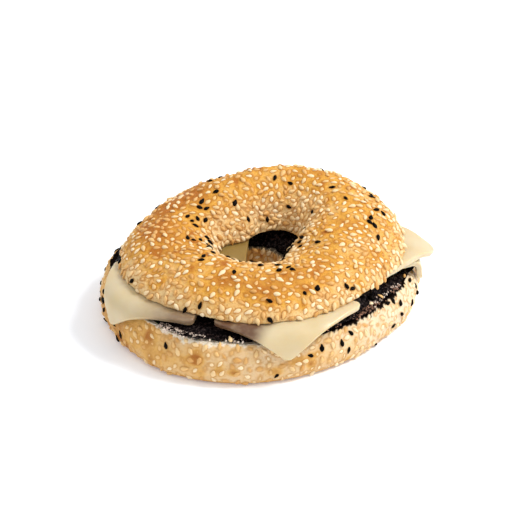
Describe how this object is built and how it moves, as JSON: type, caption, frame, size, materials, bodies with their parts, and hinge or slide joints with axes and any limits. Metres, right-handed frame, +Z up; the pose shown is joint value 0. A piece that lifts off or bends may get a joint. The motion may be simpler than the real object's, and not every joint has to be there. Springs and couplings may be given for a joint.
{
  "type": "simit sandwich",
  "caption": "Sesame-seeded bread ring cut through, spread with olive paste and filled with slices of pale cheese that droop over the rim.",
  "frame": {"origin": "on the table under the middle of the whole sandwich's box", "axes": "+Z up, -Y towards the side with the drooping cheese corner, +X towards the stacked cheese slices"},
  "size_m": [0.1344, 0.1294, 0.0451],
  "materials": {
    "crust_base": "pale baked bread crust with sesame seeds",
    "crust_top": "golden baked bread crust with sesame seeds",
    "cheese": "smooth pale semi-hard cheese",
    "olive_paste": "rough moist black olive paste"
  },
  "bodies": {
    "root": {"bottom_bun": "crust_base", "olive_paste": "olive_paste", "cheese_left": "cheese", "cheese_front": "cheese", "cheese_right_lower": "cheese", "cheese_right_upper": "cheese", "cheese_back": "cheese", "top_bun": "crust_top"}
  },
  "joints": []
}
